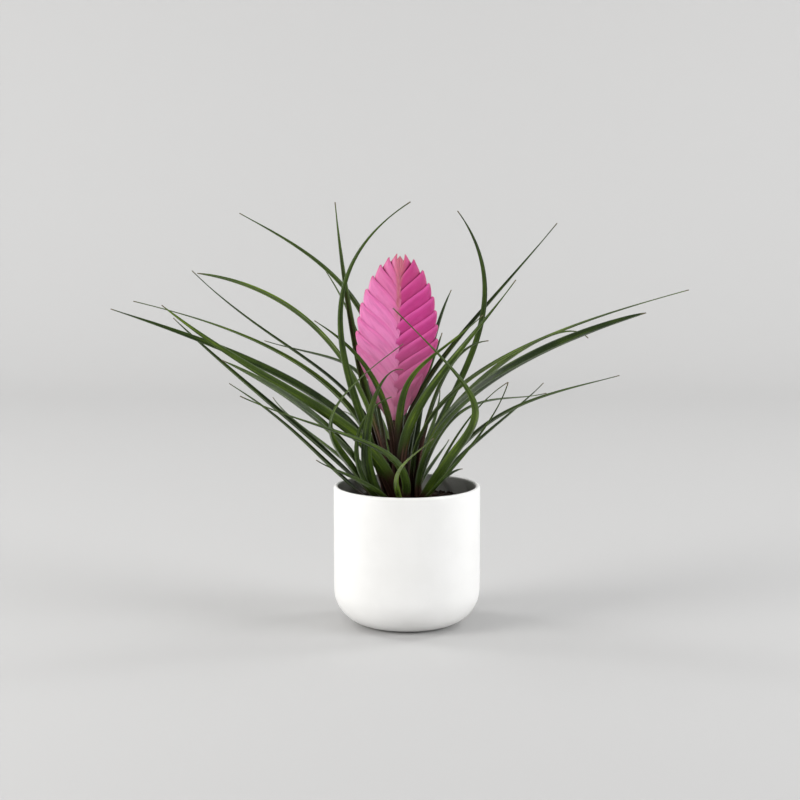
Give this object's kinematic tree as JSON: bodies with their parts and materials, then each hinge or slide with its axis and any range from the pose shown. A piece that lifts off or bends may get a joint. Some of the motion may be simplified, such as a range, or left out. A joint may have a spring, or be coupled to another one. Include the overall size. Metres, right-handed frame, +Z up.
{
  "type": "potted pink quill plant",
  "caption": "Bromeliad with a rosette of narrow arching leaves and a flat pink spike of overlapping bracts, rooted in bark in a plain round white pot.",
  "frame": {"origin": "middle of the pot's flat foot, on the surface that the pot stands on", "axes": "+Z up along the pot's axis, -Y towards the front, +X to the right seen from the front"},
  "size_m": [0.4152, 0.3242, 0.3153],
  "materials": {
    "pot": "matte white glaze outside, grey inside the mouth",
    "soil": "loose dark bark crumbs, rough",
    "stem": "satin, brown sheaths",
    "bract": "satin, stiff and papery, pink with darker edges",
    "leaf": "satin, deep green with a grey scale bloom, maroon stripes at the base"
  },
  "bodies": {
    "root": {"pot": "pot", "soil": "soil", "stem": "stem", "spike": "bract", "leaf_left_long": "leaf", "leaf_left_arch": "leaf", "leaf_left_broad": "leaf", "leaf_left_under": "leaf", "leaf_left_behind": "leaf", "leaf_left_low": "leaf", "leaf_left_sweep": "leaf", "leaf_front_left_short": "leaf", "leaf_back_left_thin": "leaf", "leaf_left_straight": "leaf", "leaf_left_fan": "leaf", "leaf_inner_left": "leaf", "leaf_back_left_grey": "leaf", "leaf_back_left_high": "leaf", "leaf_back_left_tip": "leaf", "leaf_upright_left": "leaf", "leaf_curl_high": "leaf", "leaf_curl_left": "leaf", "leaf_curl_front": "leaf", "leaf_curl_low": "leaf", "leaf_front_right_tip": "leaf", "leaf_inner_right": "leaf", "leaf_tall_right": "leaf", "leaf_right_small_curl": "leaf", "leaf_right_high": "leaf", "leaf_right_broad": "leaf", "leaf_back_spike_tip": "leaf", "leaf_back_dark": "leaf", "leaf_hook": "leaf", "leaf_right_long": "leaf", "leaf_right_droop": "leaf", "leaf_right_wide": "leaf", "leaf_right_low": "leaf", "leaf_right_dark": "leaf", "leaf_right_flat": "leaf", "leaf_front_right_a": "leaf", "leaf_front_right_b": "leaf", "leaf_back_right_thin": "leaf", "leaf_low_right_tip": "leaf", "leaf_low_right_short": "leaf", "leaf_back_a": "leaf", "leaf_back_c": "leaf", "leaf_back_d": "leaf", "leaf_back_high_a": "leaf", "leaf_back_high_b": "leaf"}
  },
  "joints": []
}
